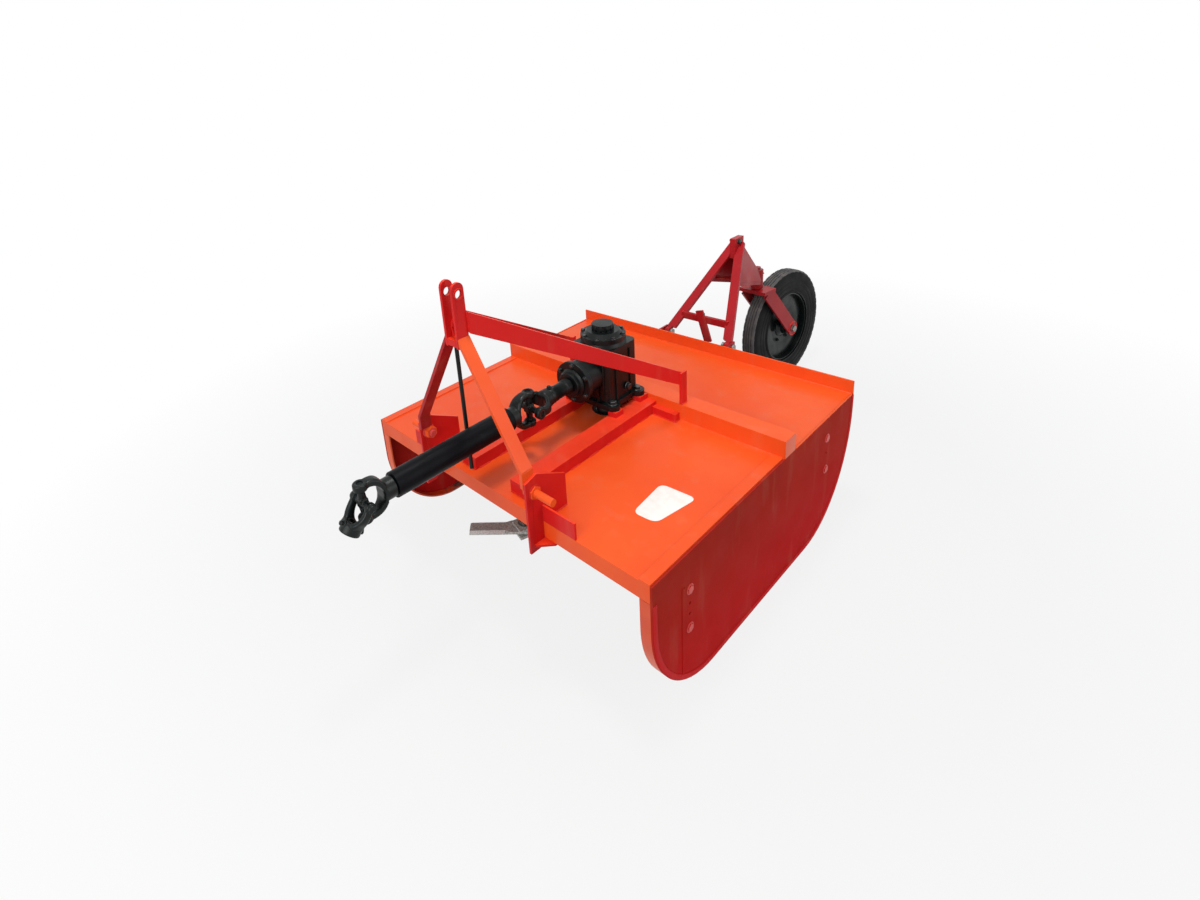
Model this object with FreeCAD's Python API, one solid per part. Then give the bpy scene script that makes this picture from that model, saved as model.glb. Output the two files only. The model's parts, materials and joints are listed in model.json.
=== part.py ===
"""Tractor-mounted rotary slasher, built as separate solids in one frame.

Units mm. X is across the machine (+X is the right-hand skid), +Y is to the rear
(tail wheel), -Y is towards the tractor, +Z is up and Z = 0 is the ground.
"""
import FreeCAD, Part
import math
import os

V = FreeCAD.Vector

# ---- driving dimensions -------------------------------------------------------
DECK_W = 1500.0          # over the outer faces of the side plates
DECK_L = 1492.0          # front flange face to rear rail face
DECK_Z = 560.0           # top of the deck sheet above the ground
SHEET = 8.0              # deck and side plate thickness
FLANGE_H = 68.0          # front fold, measured down from the deck top
RAIL_H = 62.0            # rear upright rail above the deck top
BEAM_Y0, BEAM_Y1, BEAM_H = 104.0, 190.0, 76.0
ROTOR_Y = -12.0          # gearbox and rotor axis
SHAFT_Z = 777.0          # height of the drive shaft line
PIVOT_R = 459.0          # blade pivot circle
BLADE_L = 250.0          # blade pivot to tip
ROTOR_A = 253.1          # heading of the first carrier arm, degrees
BLADE_A = 223.6          # heading of the first blade, degrees
PIN_X = 307.0            # outer face of the hitch brackets
HITCH_Y, HITCH_Z, PIN_R = -776.0, 696.0, 14.2
EAR_Y, EAR_Z, EAR_X = -791.0, 1361.0, 30.0
JOINT_Y1, JOINT_Y2 = -485.0, -1252.0      # centres of the two universal joints
END_DROOP = 50.0                          # sag of the free end yoke, degrees
RAIL_Z = 612.0                            # top of the frame rails
BASE_Z = DECK_Z + BEAM_H                  # underside of the gearbox base
EAR_HOLE = 15.0                           # radius of the top link hole
CROSS_R = 14.9                            # arms of the joint crosses
GUARD_R = 46.0                            # drive shaft guard tube
TAIL_X = -40.0                            # the tail frame stands left of the middle
KING_Y, AXLE_Y = 1440.0, 1716.0           # caster kingpin and tail wheel axle, fork straight
FORK_TURN = -5.4                          # the fork stands turned on its kingpin, degrees
WHEEL_R, WHEEL_W, RIM_R = 358.0, 90.0, 215.0
FOOT_X, FOOT_Y, FOOT_Z = 172.0, 800.0, 595.0
APEX_Y, APEX_Z = 1213.0, 1018.0
END_LEN = 106.0                           # end yoke, joint centre to free end
MID_Y = 363.1                             # middle of the overall length
SHIFT = V(0, -MID_Y, 0)

HALF_W = DECK_W / 2.0
FRONT_Y, REAR_Y = -DECK_L / 2.0, DECK_L / 2.0
DECK_B = DECK_Z - SHEET
INNER_X = HALF_W - SHEET


# ---- helpers ------------------------------------------------------------------
def block(x0, x1, y0, y1, z0, z1):
    return Part.makeBox(x1 - x0, y1 - y0, z1 - z0, V(x0, y0, z0))


def rod(p, q, r):
    d = q.sub(p)
    return Part.makeCylinder(r, d.Length, p, d)


def ring(p, q, r, bore):
    d = q.sub(p)
    return rod(p, q, r).cut(Part.makeCylinder(bore, d.Length + 20, p.sub(unit(d).multiply(10)), d))


def unit(d):
    u = V(d.x, d.y, d.z)
    u.normalize()
    return u


def prism(points, direction):
    """Straight-sided outline swept along a vector."""
    wire = Part.makePolygon(points + [points[0]])
    return Part.Face(wire).extrude(direction)


def flat(p, q, wide, thick, across):
    """Flat bar from p to q; 'across' gives the direction of its width."""
    u = unit(q.sub(p))
    s = across.sub(V(u.x, u.y, u.z).multiply(u.dot(across)))
    s.normalize()
    n = u.cross(s)
    a, b = V(s.x, s.y, s.z).multiply(wide / 2.0), V(n.x, n.y, n.z).multiply(thick / 2.0)
    c = [p.add(a).add(b), p.sub(a).add(b), p.sub(a).sub(b), p.add(a).sub(b)]
    return prism(c, q.sub(p))


def hexagon(p, q, r):
    """Six-sided head or nut of corner radius r from p to q."""
    d = q.sub(p)
    turn = FreeCAD.Rotation(V(0, 0, 1), d)
    angles = [i * math.pi / 3 for i in range(6)]
    return prism([p.add(turn.multVec(V(r * math.cos(a), r * math.sin(a), 0))) for a in angles], d)


def fuse(*shapes):
    out = shapes[0]
    for s in shapes[1:]:
        out = out.fuse(s)
    return out.removeSplitter()


def mirror(shape):
    return shape.mirror(V(0, 0, 0), V(1, 0, 0))


NODES = {}


def node(name, shape):
    NODES[name] = shape


def pair(name, shape):
    """Right-hand piece and its mirror image on the left."""
    node(name + "_r", shape)
    node(name + "_l", mirror(shape))


# ---- deck ---------------------------------------------------------------------
def deck():
    sheet = block(-INNER_X, INNER_X, FRONT_Y, REAR_Y, DECK_B, DECK_Z)
    fold = block(-INNER_X, INNER_X, FRONT_Y, FRONT_Y + SHEET, DECK_Z - FLANGE_H, DECK_B + 1)
    hole = Part.makeCylinder(51, 40, V(0, ROTOR_Y, DECK_B - 20))
    edge = block(HALF_W - 50, INNER_X, FRONT_Y, BEAM_Y0, DECK_Z - 1, DECK_Z + 6)
    node("deck_plate", fuse(sheet, fold, edge, mirror(edge)).cut(hole))
    node("rear_rail", block(-HALF_W, HALF_W, REAR_Y - SHEET, REAR_Y, DECK_Z, DECK_Z + RAIL_H))
    beam = block(-HALF_W, HALF_W, BEAM_Y0, BEAM_Y1, DECK_Z, DECK_Z + BEAM_H)
    node("cross_beam", beam.cut(block(-HALF_W + 6, HALF_W - 6, BEAM_Y0 + 6, BEAM_Y1 - 6,
                                      DECK_Z - 1, DECK_Z + BEAM_H - 6)))
    rail = block(100, 185, FRONT_Y + 40, BEAM_Y0, DECK_Z, RAIL_Z)
    rail = rail.cut(block(106, 179, FRONT_Y + 46, BEAM_Y0 + 10, DECK_Z - 1, RAIL_Z - 6))
    tie = block(184, 300, BEAM_Y0 - 32, BEAM_Y0, DECK_Z, DECK_Z + 36)
    pads = [block(100, 142, ROTOR_Y + y - 26, ROTOR_Y + y + 26, RAIL_Z - 1, BASE_Z) for y in (-86, 86)]
    pair("frame_rail", fuse(rail, tie, *pads))


# ---- side plates with skid runners --------------------------------------------
def quarter(cy, cz, ry, rz, start):
    """Quarter ellipse in the YZ plane; start 180 is the front corner, 270 the rear one."""
    if ry >= rz:
        e = Part.Ellipse(V(0, cy + ry, cz), V(0, cy, cz + rz), V(0, cy, cz))
    else:
        e = Part.Ellipse(V(0, cy, cz + rz), V(0, cy - ry, cz), V(0, cy, cz))
        start -= 90
    return e.toShape(math.radians(start), math.radians(start + 90))


def side_curve(inset):
    """Open outline of a side plate from the front top, round the bottom, to the rear top."""
    y0, y1, z0 = FRONT_Y + inset, REAR_Y - inset, inset
    front = quarter(-400, 372, -400 - y0, 372 - z0, 180)
    rear = quarter(330, 500, y1 - 330, 500 - z0, 270)
    return [Part.makeLine(V(0, y0, DECK_Z), V(0, y0, 372)), front,
            Part.makeLine(V(0, -400, z0), V(0, 330, z0)), rear,
            Part.makeLine(V(0, y1, 500), V(0, y1, DECK_Z))]


def side():
    outer = side_curve(0)
    close = Part.makeLine(V(0, REAR_Y, DECK_Z), V(0, FRONT_Y, DECK_Z))
    plate = Part.Face(Part.Wire(outer + [close])).extrude(V(SHEET, 0, 0))
    plate.translate(V(INNER_X, 0, 0))
    for y, z in ((-543, 413), (-544, 255), (488, 464), (491, 311)):
        plate = plate.fuse(hexagon(V(HALF_W - 1, y, z), V(HALF_W + 5.5, y, z), 15))
    for y, z in ((-543, 355), (-543, 312), (489, 392)):
        plate = plate.cut(rod(V(INNER_X - 1, y, z), V(HALF_W + 1, y, z), 6))
    pair("side_plate", plate.fuse(block(HALF_W - 1, HALF_W + 3, -590, -574, 88, 442)))
    inner = side_curve(SHEET)
    low = Part.Face(Part.Wire(inner + [Part.makeLine(V(0, REAR_Y - SHEET, DECK_Z),
                                                     V(0, FRONT_Y + SHEET, DECK_Z))]))
    band = Part.Face(Part.Wire(outer + [close])).extrude(V(40, 0, 0)).cut(low.extrude(V(40, 0, 0)))
    band = band.common(block(-1, 41, FRONT_Y, REAR_Y, -1, DECK_Z - FLANGE_H - 1))
    band.translate(V(INNER_X - 40, 0, 0))
    pair("skid_runner", band)


# ---- hitch frame --------------------------------------------------------------
def hitch():
    x1, x0 = PIN_X, PIN_X - 10
    y0, y1 = -816.0, -622.0
    pts = [V(x0, y0, 461), V(x0, y0, 745), V(x0, -760, 760), V(x0, y1, 690), V(x0, y1, DECK_Z),
           V(x0, FRONT_Y, DECK_Z), V(x0, FRONT_Y, 480), V(x0, FRONT_Y - 25, 461)]
    plate = prism(pts, V(10, 0, 0))
    plate = plate.cut(rod(V(x0 - 5, HITCH_Y, HITCH_Z), V(x1 + 5, HITCH_Y, HITCH_Z), PIN_R))
    foot = block(x1 - 1, 452, FRONT_Y, FRONT_Y + 8, DECK_Z, DECK_Z + 66)
    z1 = DECK_Z - FLANGE_H - 8
    shelf = prism([V(x1 - 1, FRONT_Y + 8, z1), V(x1 - 1, -796, z1), V(x1 + 8, -796, z1),
                   V(x1 + 52, FRONT_Y, z1), V(x1 + 52, FRONT_Y + 8, z1)], V(0, 0, 8))
    pair("hitch_bracket", fuse(plate, foot, shelf))
    pin = fuse(rod(V(x0 - 10, HITCH_Y, HITCH_Z), V(x1 + 87, HITCH_Y, HITCH_Z), PIN_R),
               hexagon(V(x0 - 26, HITCH_Y, HITCH_Z), V(x0, HITCH_Y, HITCH_Z), 25),
               hexagon(V(x1, HITCH_Y, HITCH_Z), V(x1 + 8, HITCH_Y, HITCH_Z), 25))
    pair("lower_pin", pin)
    leg = fuse(flat(V(30, EAR_Y, 1200), V(x0 - 7, EAR_Y, 780), 52, 14, V(0, 1, 0)),
               block(x0 - 14, x0, EAR_Y - 26, EAR_Y + 26, 722, 782))
    pair("mast_leg", leg.common(block(EAR_X + 6, x0, -900, -700, 640, 1262)))
    y0, y1, z0 = EAR_Y - 27, EAR_Y + 25, 1165
    ear = fuse(block(EAR_X - 6, EAR_X + 6, y0, y1, z0, EAR_Z + 16),
               rod(V(EAR_X - 6, EAR_Y - 1, EAR_Z + 16), V(EAR_X + 6, EAR_Y - 1, EAR_Z + 16), 26))
    ear = ear.cut(rod(V(0, EAR_Y, EAR_Z), V(80, EAR_Y, EAR_Z), EAR_HOLE))
    pair("mast_ear", ear)
    node("mast_head", block(-EAR_X + 6, EAR_X - 6, y0, y1, 1170, 1195))
    run = V(264, 892, 0)
    side = V(-run.y, run.x, 0)
    side = unit(side).multiply(10)
    a = V(EAR_X + 16, -768, 0)
    b = a.add(run)
    brace = prism([V(a.x, a.y, 1212), V(a.x, a.y, 1292), V(b.x, b.y, 778), V(b.x, b.y, 716)], side)
    post = block(300, 311, BEAM_Y0, BEAM_Y0 + 40, DECK_Z + BEAM_H, 782)
    brace = fuse(brace.common(block(EAR_X + 6, 305, -900, BEAM_Y0 + 30, 600, 1400)), post)
    pair("brace", brace)
    x, y, low = -64.0, -754.0, SHAFT_Z - GUARD_R - 13
    hook = fuse(rod(V(x, y, 1262), V(x, y, 612), 8), rod(V(x, y, low), V(-8, y, low), 8),
                rod(V(x, y, 1250), V(-48, y, 1250), 8))
    node("shaft_hanger", hook.cut(mirror(brace)))


# ---- gearbox ------------------------------------------------------------------
def gearbox():
    y, z = ROTOR_Y, BASE_Z
    base = block(-112, 112, y - 118, y + 118, z, z + 22)
    for sx in (-1, 1):
        for sy in (-1, 1):
            base = base.fuse(Part.makeCylinder(32, 22, V(sx * 106, y + sy * 86, z)))
    base = base.removeSplitter()
    node("gearbox_base", base.cut(Part.makeCylinder(60, 100, V(0, y, z - 50))))
    body = block(-100, 100, y - 103, y + 103, z + 22, 896)
    upright = [e for e in body.Edges if abs(e.tangentAt(e.FirstParameter).z) > 0.9]
    body = body.makeFillet(24, upright)
    top = Part.makeCone(99, 92, 18, V(0, y, 895))
    nose = rod(V(0, y - 100, SHAFT_Z + 4), V(0, -200, SHAFT_Z + 4), 78)
    ribs = [block(x - 5, x + 5, y - 109, y + 109, z + 22, 870) for x in (-48, 48)]
    ribs += [block(-106, 106, y + d - 5, y + d + 5, z + 22, 870) for d in (-48, 48)]
    node("gearbox_housing", fuse(body, top, nose, *ribs))
    lid = fuse(Part.makeCylinder(97, 22, V(0, y, 913)), Part.makeCone(84, 70, 18, V(0, y, 934)))
    node("gearbox_cover", lid.fuse(Part.makeCylinder(46, 28, V(0, y, 951))))
    c = SHAFT_Z
    flange = ring(V(0, -200, c), V(0, -222, c), 92, 27)
    node("input_housing", fuse(flange, ring(V(0, -221, c), V(0, -250, c), 52, 27)))


# ---- rotor and swinging blades --------------------------------------------------
def rotor():
    c = V(0, ROTOR_Y, 0)
    hub = fuse(Part.makeCylinder(45, 475, V(0, ROTOR_Y, 130)), Part.makeCylinder(80, 26, V(0, ROTOR_Y, 130)))
    node("rotor_spindle", hub)
    for name, z in (("carrier_upper", 118.0), ("carrier_lower", 82.0)):
        bar = block(-PIVOT_R - 45, PIVOT_R + 45, ROTOR_Y - 42, ROTOR_Y + 42, z, z + 12)
        for s in (-1, 1):
            bar = bar.cut(Part.makeCylinder(15, 40, V(s * PIVOT_R, ROTOR_Y, z - 10)))
        bar.rotate(c, V(0, 0, 1), ROTOR_A)
        node(name, bar)
    spacer = block(-60, 60, ROTOR_Y - 42, ROTOR_Y + 42, 94, 118)
    node("carrier_spacer", spacer.rotate(c, V(0, 0, 1), ROTOR_A))
    for k in (0, 1):
        a = math.radians(ROTOR_A + 180 * k)
        p = V(PIVOT_R * math.cos(a), ROTOR_Y + PIVOT_R * math.sin(a), 0)
        head = hexagon(V(p.x, p.y, 72), V(p.x, p.y, 82), 27)
        nut = hexagon(V(p.x, p.y, 130), V(p.x, p.y, 144), 26)
        node("blade_bolt_%d" % (k + 1), fuse(Part.makeCylinder(14.9, 64, V(p.x, p.y, 74)), head, nut))
        blade = block(-60, BLADE_L, -40, 40, 100, 112).cut(Part.makeCylinder(15, 40, V(0, 0, 90)))
        blade.rotate(V(0, 0, 0), V(0, 0, 1), BLADE_A + 180 * k)
        blade.translate(p)
        node("blade_%d" % (k + 1), blade)


# ---- drive shaft with two universal joints ----------------------------------------
def fork(y, way, turned, half, thick, web, hub, broad=48, bulk=38):
    """Curved two-eared fork round a joint centre at y, hub on the 'way' side.

    half is the outer half width over the ears, web the inner depth of the fork, hub
    the distance to the end of its hub, broad the width of the arms and bulk the
    radius of the hub; turned puts the ears above and below.
    """
    ins = half - thick
    right = [(half, 0), (half + 2, web * 0.4), (half * 0.92, web * 0.8), (half * 0.72, web + 6),
             (34, web + 18)]
    left = [(-x, d) for x, d in reversed(right)]
    inside = [(ins, 0), (ins, web * 0.4), (ins * 0.8, web * 0.78), (ins * 0.4, web)]
    back = [(-x, d) for x, d in inside] + [(x, d) for x, d in reversed(inside)]
    arms = prism([V(x, d, -broad / 2.0) for x, d in right + left + back], V(0, 0, broad))
    for sign in (-1, 1):
        arms = arms.fuse(rod(V(sign * ins, 0, 0), V(sign * half, 0, 0), 24))
    arms = arms.cut(rod(V(-half - 20, 0, 0), V(half + 20, 0, 0), CROSS_R + 0.1))
    out = fuse(arms, rod(V(0, web + 8, 0), V(0, hub, 0), bulk))
    if turned:
        out.rotate(V(0, 0, 0), V(0, 1, 0), 90)
    if way < 0:
        out.rotate(V(0, 0, 0), V(0, 0, 1), 180)
    out.translate(V(0, y, SHAFT_Z))
    return out


def cross(y, across, upright):
    """Joint cross with arms reaching 'across' along X and 'upright' along Z."""
    z = SHAFT_Z
    level = rod(V(-across, y, z), V(across, y, z), CROSS_R)
    upright_arm = rod(V(0, y, z - upright), V(0, y, z + upright), CROSS_R)
    return fuse(level, upright_arm, block(-22, 22, y - 17, y + 17, z - 22, z + 22))


def driveline():
    z = SHAFT_Z
    stub = fuse(rod(V(0, JOINT_Y1 + 110, z), V(0, -256, z), 34), rod(V(0, -257, z), V(0, -206, z), 26.9))
    node("input_yoke", fuse(fork(JOINT_Y1, 1, False, 76, 24, 66, 112), stub))
    node("cross_inner", cross(JOINT_Y1, 74, 74))
    node("shaft_fork_inner", fork(JOINT_Y1, -1, True, 76, 24, 66, 112))
    node("shaft_guard", ring(V(0, JOINT_Y1 - 112, z), V(0, JOINT_Y2 + 118, z), GUARD_R, 27))
    node("shaft_fork_outer", fuse(fork(JOINT_Y2, 1, True, 74, 26, 66, 118),
                                  rod(V(0, JOINT_Y2 + 116, z), V(0, -670, z), 26.9)))
    node("cross_outer", cross(JOINT_Y2, 64, 72))
    end = fork(JOINT_Y2, -1, False, 56, 20, 66, END_LEN, 36, 38)
    tip = JOINT_Y2 - END_LEN
    knob = hexagon(V(0, tip + 12, z - 30), V(0, tip + 12, z - 52), 9)
    end = fuse(end, knob).cut(rod(V(0, tip - 5, z), V(0, tip + 42, z), 17.5))
    node("end_yoke", end.rotate(V(0, JOINT_Y2, z), V(1, 0, 0), END_DROOP))


# ---- tail wheel --------------------------------------------------------------------
def tail():
    x, y, z = FOOT_X, FOOT_Y, FOOT_Z
    local = {}
    lug = block(x + 17, x + 27, REAR_Y, y + 26, z - 40, z + 26).cut(rod(V(x, y, z), V(x + 40, y, z), 12))
    pin = fuse(rod(V(x - 18, y, z), V(x + 36, y, z), 11.9), hexagon(V(x + 27, y, z), V(x + 37, y, z), 20),
               hexagon(V(x - 27, y, z), V(x - 17, y, z), 20))
    leg = flat(V(x, y, z), V(14, APEX_Y, APEX_Z), 46, 20, V(1, 0, 0))
    leg = leg.fuse(rod(V(x - 12, y, z), V(x + 12, y, z), 24))
    leg = leg.cut(rod(V(x - 60, y, z), V(x + 60, y, z), 12)).cut(rod(V(x - 60, y, z), V(x - 12, y, z), 30))
    leg = leg.cut(rod(V(x + 12, y, z), V(x + 60, y, z), 30)).common(block(16, 400, 700, 1400, 500, 1100))
    tube = rod(V(0, KING_Y, 600), V(0, KING_Y, 900), 34)
    strut = flat(V(0, APEX_Y, APEX_Z - 20), V(0, KING_Y - 10, 764), 40, 24, V(1, 0, 0))
    low_edge, high_edge = V(76, 1062, 842), V(24, KING_Y, 728)
    stay = flat(low_edge, high_edge, 34, 10, V(0, 0, 1))
    corner = V(20, 1222, 1000)
    inner = high_edge + (low_edge - high_edge) * 0.17 + (corner - low_edge) * 0.27
    gusset = prism([low_edge, corner, inner, high_edge], V(7, 0, 5))
    stay = fuse(stay, gusset).cut(leg).cut(tube).cut(strut)
    stay = stay.common(block(12, 200, 900, KING_Y - 8, 600, 1000))
    stay = max(stay.Solids, key=lambda s: s.Volume)
    arm = fuse(flat(V(72, KING_Y + 2, 668), V(72, AXLE_Y, WHEEL_R), 84, 12, V(0, 1, 0)),
               rod(V(66, AXLE_Y, WHEEL_R), V(78, AXLE_Y, WHEEL_R), 42))
    arm = arm.cut(block(50, 95, KING_Y - 200, KING_Y + 300, 664, 900)).cut(
        rod(V(50, AXLE_Y, WHEEL_R), V(100, AXLE_Y, WHEEL_R), 15))
    for name, shape in (("tail_lug", lug), ("tail_pin", pin), ("tail_leg", leg), ("tail_stay", stay),
                        ("fork_arm", arm)):
        local[name + "_r"], local[name + "_l"] = shape, mirror(shape)
    local["tail_cross"] = block(-160, 160, 866, 886, 661, 697).cut(leg).cut(mirror(leg)).common(
        block(-132, 132, 800, 900, 600, 800))
    head = block(-16, 16, APEX_Y - 60, APEX_Y + 30, APEX_Z - 75, APEX_Z + 36)
    local["tail_strut"] = fuse(head, strut).cut(tube)
    local["king_housing"] = ring(V(0, KING_Y, 690), V(0, KING_Y, 800), 34, 20)
    local["height_strap"] = flat(V(-22, 860, 730), V(31, 860, 562), 42, 12, V(1, 0, 0))
    crown = block(-84, 84, KING_Y - 50, KING_Y + 62, 664, 684)
    local["fork_crown"] = fuse(crown, rod(V(0, KING_Y, 683), V(0, KING_Y, 814), 19.9))
    local["wheel_axle"] = rod(V(-95, AXLE_Y, WHEEL_R), V(95, AXLE_Y, WHEEL_R), 14.9)
    a, b = V(-WHEEL_W / 2, AXLE_Y, WHEEL_R), V(WHEEL_W / 2, AXLE_Y, WHEEL_R)
    local["tyre"] = ring(a, b, WHEEL_R, RIM_R)
    c = V(0, AXLE_Y, WHEEL_R)
    rim = ring(V(-38, c.y, c.z), V(38, c.y, c.z), RIM_R, RIM_R - 8)
    web = ring(V(-6, c.y, c.z), V(6, c.y, c.z), RIM_R - 4, 15)
    local["wheel_disc"] = fuse(rim, web, ring(V(-55, c.y, c.z), V(55, c.y, c.z), 42, 15))
    for name in ("fork_arm_r", "fork_arm_l", "fork_crown", "wheel_axle", "tyre", "wheel_disc"):
        local[name].rotate(V(0, KING_Y, 0), V(0, 0, 1), FORK_TURN)
    for name, shape in local.items():
        shape.translate(V(TAIL_X, 0, 0))
        node(name, shape)


def main():
    deck()
    side()
    hitch()
    gearbox()
    rotor()
    driveline()
    tail()
    os.makedirs("parts", exist_ok=True)
    for name, shape in sorted(NODES.items()):
        shape.translate(SHIFT)
        shape.exportStep("parts/%s.step" % name)


main()
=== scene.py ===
"""Looks of a tractor-mounted rotary slasher: finishes, fasteners, welds, tyre, stage and camera."""
import json
import math
import random

import bmesh
import bpy
from mathutils import Matrix, Vector

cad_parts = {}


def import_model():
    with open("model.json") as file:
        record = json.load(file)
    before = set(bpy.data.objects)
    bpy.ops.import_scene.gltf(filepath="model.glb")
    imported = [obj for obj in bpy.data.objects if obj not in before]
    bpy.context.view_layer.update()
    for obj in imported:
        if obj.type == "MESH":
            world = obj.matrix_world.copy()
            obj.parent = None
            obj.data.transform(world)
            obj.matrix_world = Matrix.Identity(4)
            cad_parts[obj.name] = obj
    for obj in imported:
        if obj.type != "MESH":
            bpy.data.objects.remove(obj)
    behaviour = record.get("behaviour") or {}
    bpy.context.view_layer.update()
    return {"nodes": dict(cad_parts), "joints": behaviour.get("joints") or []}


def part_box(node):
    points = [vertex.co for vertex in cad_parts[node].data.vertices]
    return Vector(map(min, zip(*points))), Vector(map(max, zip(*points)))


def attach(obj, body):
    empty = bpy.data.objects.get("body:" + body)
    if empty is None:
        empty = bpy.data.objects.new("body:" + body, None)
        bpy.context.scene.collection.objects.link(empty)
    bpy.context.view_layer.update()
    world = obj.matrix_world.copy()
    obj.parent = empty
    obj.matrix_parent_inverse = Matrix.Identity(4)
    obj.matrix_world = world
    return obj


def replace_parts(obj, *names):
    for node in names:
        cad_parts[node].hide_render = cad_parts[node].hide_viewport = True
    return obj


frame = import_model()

RNG = random.Random(7)
MM = 0.001
X, Y, Z = Vector((1, 0, 0)), Vector((0, 1, 0)), Vector((0, 0, 1))
BOTH = (-1, 1)
JOINTS = {joint["name"]: joint for joint in frame["joints"]}


def low(node):
    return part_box(node)[0]


def high(node):
    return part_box(node)[1]


def middle(node):
    a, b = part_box(node)
    return (a + b) / 2


def joint_at(name):
    return Vector(JOINTS[name]["pos_m"])


DECK_TOP = low("cross_beam").z
DECK_MID = middle("deck_plate")
REAR_Y = high("rear_rail").y
HALF_W = high("side_plate_r").x
TAIL_X = middle("king_housing").x / MM
AXLE = Vector(JOINTS["wheel_spin"]["axis"]).normalized()
TRAIL = Z.cross(AXLE)

# Places that several fittings share, in millimetres as at() takes them.
DECK_Z = 560  # top of the deck sheet
SHAFT_Z = 777  # shaft out of the gearbox
GEARBOX_Y, INPUT_Y = -12, -222  # middle of the gearbox, front face of its input housing
HITCH_Y, HITCH_Z = -776, 696  # lower hitch pins
BRACKET_X = 307  # outer face of the hitch brackets
EAR_Y, EAR_Z = -791, 1361  # top link hole
KING_Y = 1440  # kingpin of the tail wheel


def at(x, y, z):
    """Point from millimetres to the right of mid-deck, behind it and above the ground."""
    return Vector((x * MM, y * MM + DECK_MID.y, z * MM))


def tail(x, y, z):
    """As at(), but sideways from the middle of the tail frame."""
    return at(TAIL_X + x, y, z)


def fork_point(x, trail, z):
    """Millimetres along the axle and behind the kingpin, in the caster fork as it stands."""
    return tail(0, KING_Y, z) + AXLE * x * MM + TRAIL * trail * MM


# ---- materials ----
class Nodes:
    """Node tree of a material or the world; values are plain numbers or sockets."""

    def __init__(self, owner):
        owner.use_nodes = True
        self.tree = owner.node_tree

    def add(self, kind, inputs=None, **settings):
        node = self.tree.nodes.new(kind)
        for key, value in settings.items():
            setattr(node, key, value)
        for key, value in (inputs or {}).items():
            self.put(node, key, value)
        return node

    def put(self, node, key, value):
        if isinstance(value, bpy.types.NodeSocket):
            self.tree.links.new(value, node.inputs[key])
        else:
            node.inputs[key].default_value = value

    def math(self, operation, a, b=0.0):
        node = self.add("ShaderNodeMath", {0: a, 1: b}, operation=operation)
        return node.outputs[0]

    def directly_seen(self):
        """1 for rays straight from the camera or by way of gloss or glass."""
        path = self.add("ShaderNodeLightPath").outputs
        seen = self.math("MAXIMUM", path["Is Camera Ray"], path["Is Glossy Ray"])
        return self.math("MAXIMUM", seen, path["Is Transmission Ray"])

    def show(self, blend, output):
        self.tree.links.new(blend.outputs[0], self.tree.nodes[output].inputs["Surface"])


class Shader(Nodes):
    """A material under construction."""

    def __init__(self, name):
        self.material = bpy.data.materials.new(name)
        super().__init__(self.material)
        self.principled = self.tree.nodes["Principled BSDF"]
        self.place = self.add("ShaderNodeTexCoord").outputs["Object"]

    def set(self, **values):
        for key, value in values.items():
            self.put(self.principled, key.replace("_", " "), value)

    def noise(self, scale, detail=3.0, place=None):
        node = self.add("ShaderNodeTexNoise", {"Vector": place or self.place, "Scale": scale,
                                               "Detail": detail, "Roughness": 0.5})
        return node.outputs["Fac"]

    def span(self, value, low_in, high_in, low_out=0.0, high_out=1.0):
        node = self.add("ShaderNodeMapRange", {
            "Value": value, "From Min": low_in, "From Max": high_in,
            "To Min": low_out, "To Max": high_out})
        return node.outputs["Result"]

    def mix(self, amount, a, b):
        node = self.add("ShaderNodeMix", data_type="RGBA")
        for index, value in ((0, amount), (6, a), (7, b)):
            self.put(node, index, value)
        return node.outputs[2]

    def stretched(self, scale):
        mapping = self.add("ShaderNodeMapping", {"Vector": self.place, "Scale": scale})
        return mapping.outputs["Vector"]

    def upward(self, vector):
        """The part of a vector that points up."""
        return self.add("ShaderNodeSeparateXYZ", {"Vector": vector}).outputs["Z"]

    def bump(self, height, strength, distance, under=None):
        inputs = {"Height": height, "Strength": strength, "Distance": distance}
        if under is not None:
            inputs["Normal"] = under
        return self.add("ShaderNodeBump", inputs).outputs["Normal"]


def rgb(r, g, b):
    """Linear colour of an sRGB triple from 0 to 255."""
    def linear(c):
        c /= 255.0
        return c / 12.92 if c <= 0.04045 else ((c + 0.055) / 1.055) ** 2.4
    return (linear(r), linear(g), linear(b), 1.0)


def edge_mask(s, radius):
    """1 on sharp edges, 0 on open faces: where a rounded normal leaves the true one."""
    rounded = s.add("ShaderNodeBevel", {"Radius": radius}, samples=4).outputs["Normal"]
    true = s.add("ShaderNodeNewGeometry").outputs["Normal"]
    same = s.add("ShaderNodeVectorMath", {0: rounded, 1: true}, operation="DOT_PRODUCT")
    return s.span(same.outputs["Value"], 0.995, 0.90)


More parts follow.
